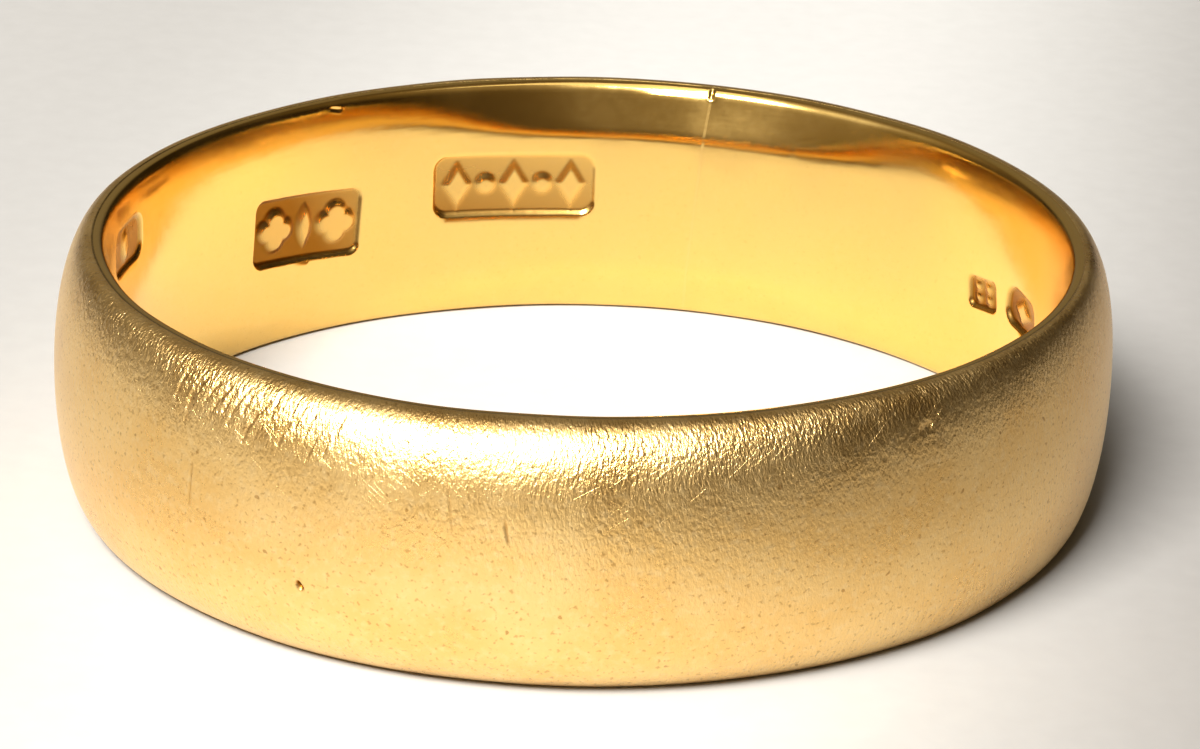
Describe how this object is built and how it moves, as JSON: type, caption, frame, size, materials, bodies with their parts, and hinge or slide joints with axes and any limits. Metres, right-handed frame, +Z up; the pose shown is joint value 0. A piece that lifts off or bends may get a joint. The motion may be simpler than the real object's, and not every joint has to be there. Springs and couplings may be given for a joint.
{
  "type": "wedding band",
  "caption": "Plain D-section gold wedding band: a domed strip bent into a slightly oval hoop with worn rims and a soldered joint, for a finger.",
  "frame": {"origin": "on the surface the band lies on, at the middle of the finger hole", "axes": "+Z up along the finger hole; -Y is the side that faces the viewer; +X to the viewer's right"},
  "size_m": [0.02, 0.02, 0.005],
  "materials": {
    "gold": "worn satin outside, soft polish inside",
    "solder": "filed satin, slightly paler than the strip"
  },
  "bodies": {
    "root": {"shank": "gold", "solder_joint": "solder"}
  },
  "joints": []
}
